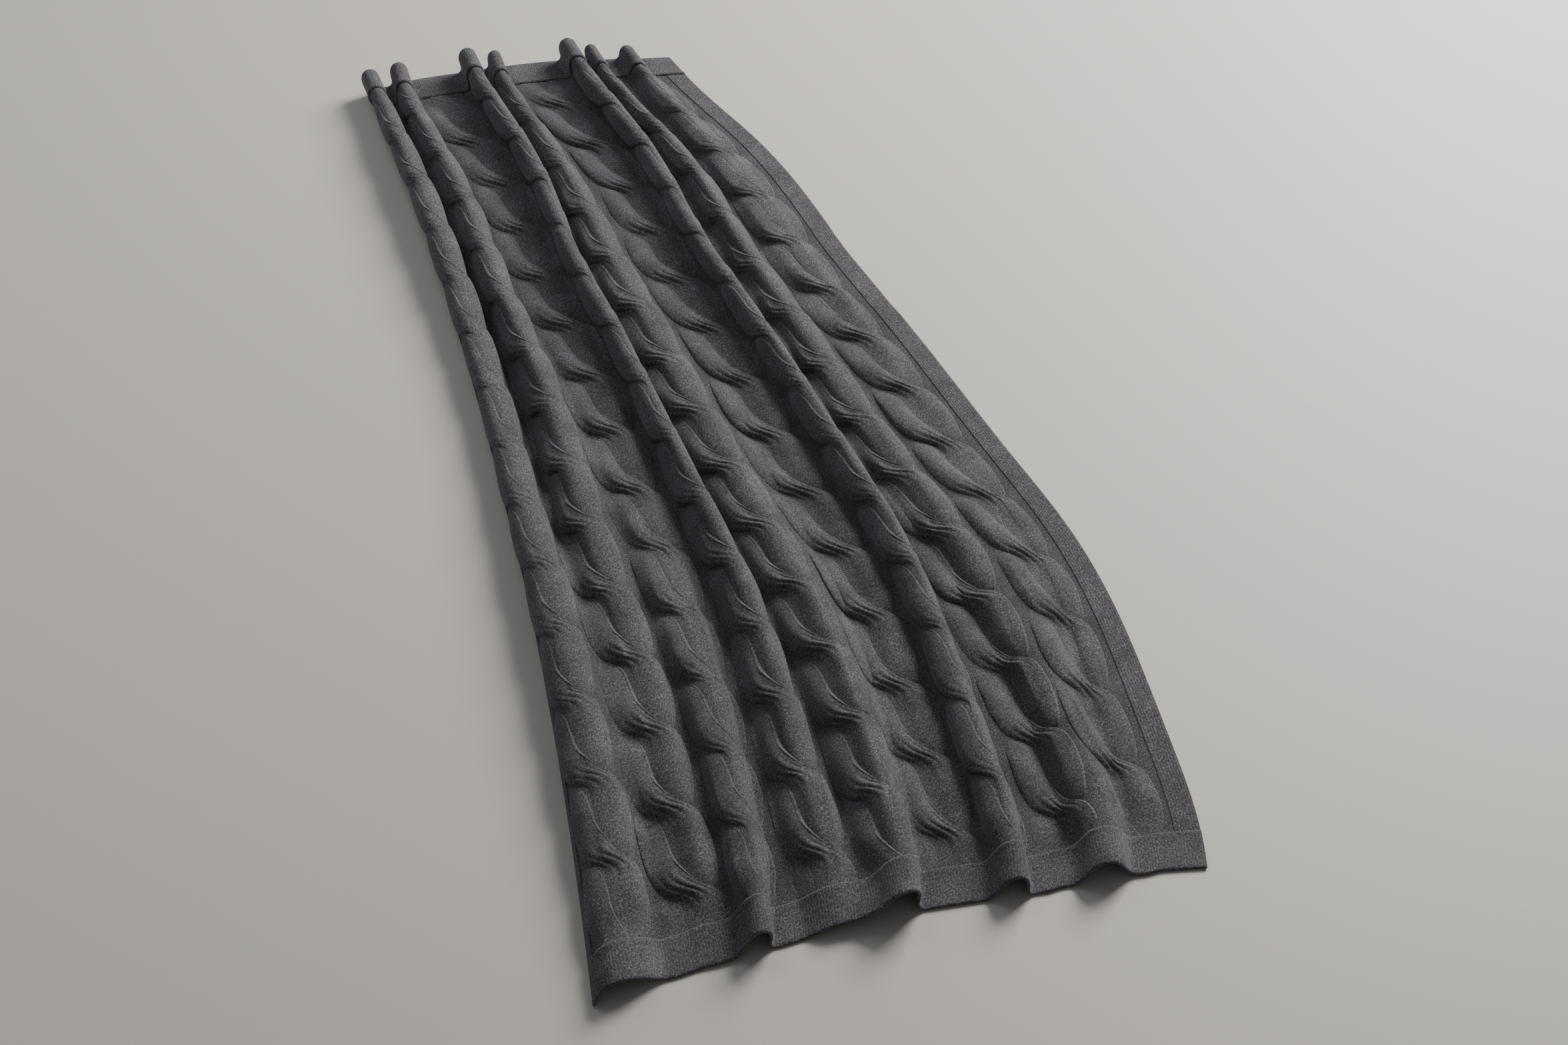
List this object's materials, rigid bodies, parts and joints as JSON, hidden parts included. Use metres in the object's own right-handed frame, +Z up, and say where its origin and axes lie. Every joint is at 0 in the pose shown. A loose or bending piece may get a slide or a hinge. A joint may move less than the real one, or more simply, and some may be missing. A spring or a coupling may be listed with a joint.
{
  "type": "cable-knit throw blanket",
  "caption": "Charcoal cable-knit throw laid out flat in long uneven folds, narrow at the far hem and fanning out to a wide wavy near hem.",
  "frame": {"origin": "centre of the bounding box in plan, at the surface it lies on", "axes": "+Y along the cables from the near hem to the far hem, +X to the right, +Z up"},
  "size_m": [0.8203, 1.806, 0.0517],
  "materials": {
    "knit": "brushed wool knit, fully matt"
  },
  "bodies": {
    "root": {"blanket": "knit"}
  },
  "joints": []
}
